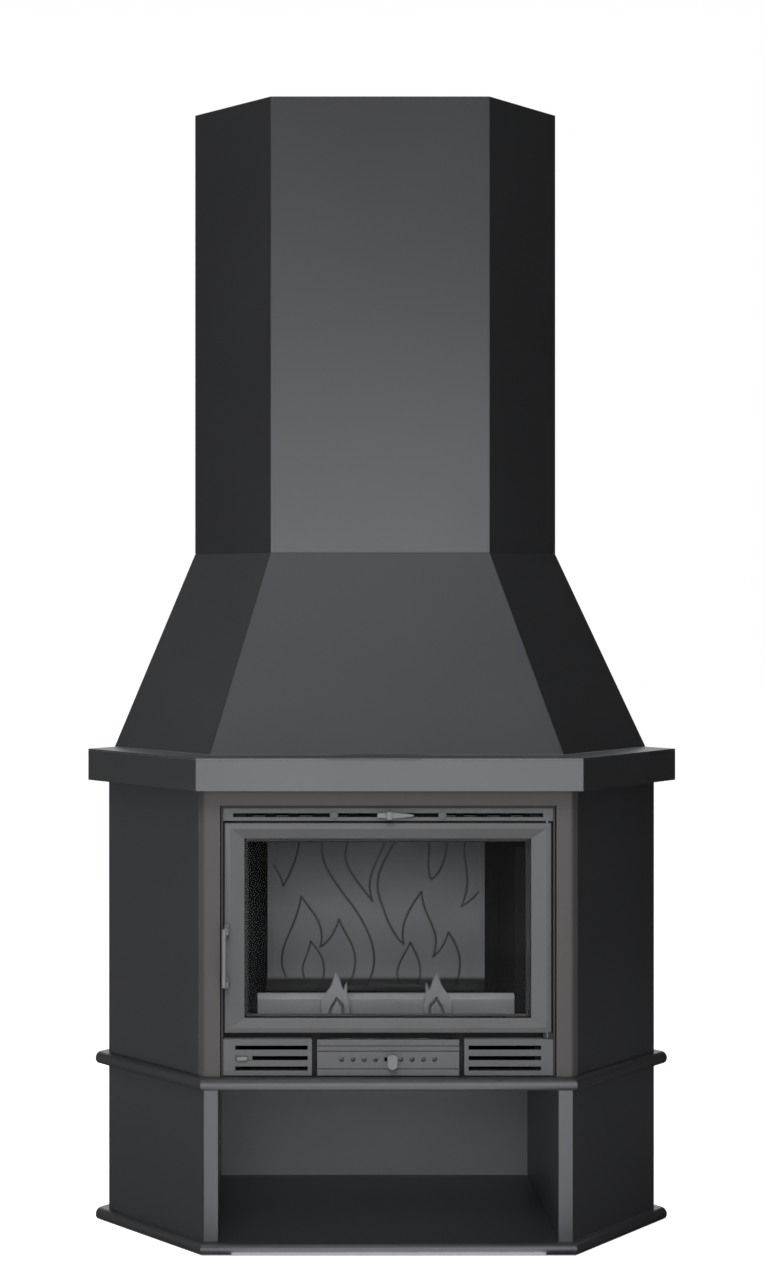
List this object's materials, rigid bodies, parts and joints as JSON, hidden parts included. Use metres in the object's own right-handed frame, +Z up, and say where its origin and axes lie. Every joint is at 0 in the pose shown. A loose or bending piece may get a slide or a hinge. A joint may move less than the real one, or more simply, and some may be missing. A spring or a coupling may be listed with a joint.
{
  "type": "corner fireplace",
  "caption": "Corner fireplace: steel casing with log niche, mantel, tapered hood and flue box round a glazed cast-iron insert with hinged door, ash drawer and air slides.",
  "frame": {"origin": "on the floor, under the middle of the bounding box", "axes": "+Z up, -Y out of the glazed front, +Y into the room corner, +X to the right seen from the front"},
  "size_m": [1.181, 0.7736, 2.278],
  "materials": {
    "casing_paint": "satin heat-resistant anthracite paint, fine grain",
    "surround_paint": "matt warm grey heat-resistant paint",
    "zinc_sheet": "zinc-coated sheet, dull",
    "insert_iron": "cast iron with grey stove paint",
    "fire_iron": "rough dark cast iron",
    "flue_enamel": "black enamelled steel",
    "bare_steel": "plain steel",
    "fire_glass": "clear ceramic glass",
    "rope": "braided glass-fibre rope"
  },
  "bodies": {
    "casing": {"base_plate": "casing_paint", "lower_side_right": "casing_paint", "lower_side_left": "casing_paint", "niche_wall_right": "casing_paint", "niche_wall_left": "casing_paint", "niche_back": "casing_paint", "shelf_plate": "casing_paint", "upper_side_right": "casing_paint", "upper_side_left": "casing_paint", "mantel_fascia": "casing_paint", "mantel_top": "casing_paint", "hood_front": "casing_paint", "hood_side_right": "casing_paint", "hood_side_left": "casing_paint", "flue_front": "casing_paint", "flue_side_right": "casing_paint", "flue_side_left": "casing_paint", "front_surround": "surround_paint", "heat_shield_right": "zinc_sheet", "heat_shield_left": "zinc_sheet", "front_frame": "insert_iron", "vent_strip": "insert_iron", "guide_stud_right": "insert_iron", "guide_stud_left": "insert_iron", "grille_right": "insert_iron", "grille_left": "insert_iron", "ash_floor": "fire_iron", "firebox_base": "fire_iron", "firebox_side_right": "fire_iron", "firebox_side_left": "fire_iron", "firebox_back": "fire_iron", "firebox_top": "fire_iron", "side_liner_right": "fire_iron", "side_liner_left": "fire_iron", "fireback": "fire_iron", "smoke_baffle": "fire_iron", "flue_collar": "flue_enamel", "flue_bend": "flue_enamel", "flue_pipe": "flue_enamel", "hinge_pin_top": "bare_steel", "hinge_pin_bottom": "bare_steel"},
    "door": {"door_frame": "insert_iron", "door_glass": "fire_glass", "door_seal": "rope", "glass_strip_top": "bare_steel", "glass_strip_bottom": "bare_steel", "handle_pin_top": "bare_steel", "handle_pin_bottom": "bare_steel"},
    "handle": {"door_handle": "insert_iron"},
    "air_wash": {"air_wash_slider": "bare_steel", "air_wash_knob": "insert_iron"},
    "ash_drawer": {"ash_drawer_front": "insert_iron", "ash_pan": "zinc_sheet"},
    "primary_air": {"air_slider": "bare_steel", "air_knob": "insert_iron"},
    "tab": {"grille_tab": "insert_iron"},
    "grate_plate": {"grate": "fire_iron"},
    "retainer": {"log_retainer": "fire_iron", "andiron_right": "fire_iron", "andiron_left": "fire_iron"}
  },
  "joints": [
    {"name": "door_hinge", "type": "hinge", "parent": "casing", "child": "door", "pos_m": [0.3055, -0.34075, 0.624], "axis": [0, 0, 1], "range_deg": [0, 105]},
    {"name": "handle_turn", "type": "hinge", "parent": "door", "child": "handle", "pos_m": [-0.309, -0.35575, 0.5715], "axis": [0, 0, 1], "range_deg": [0, 8]},
    {"name": "air_wash_slide", "type": "slide", "parent": "casing", "child": "air_wash", "axis": [-1, 0, 0], "range_m": [0, 0.0225]},
    {"name": "ash_drawer_slide", "type": "slide", "parent": "casing", "child": "ash_drawer", "axis": [0, -1, 0], "range_m": [0, 0.24]},
    {"name": "primary_air_slide", "type": "slide", "parent": "ash_drawer", "child": "primary_air", "axis": [-1, 0, 0], "range_m": [0, 0.0108]},
    {"name": "tab_slide", "type": "slide", "parent": "casing", "child": "tab", "axis": [1, 0, 0], "range_m": [0, 0.105]},
    {"name": "grate_lift", "type": "slide", "parent": "casing", "child": "grate_plate", "axis": [0, 0, 1], "range_m": [0, 0.03]},
    {"name": "retainer_lift", "type": "slide", "parent": "casing", "child": "retainer", "axis": [0, 0, 1], "range_m": [0, 0.07]}
  ]
}
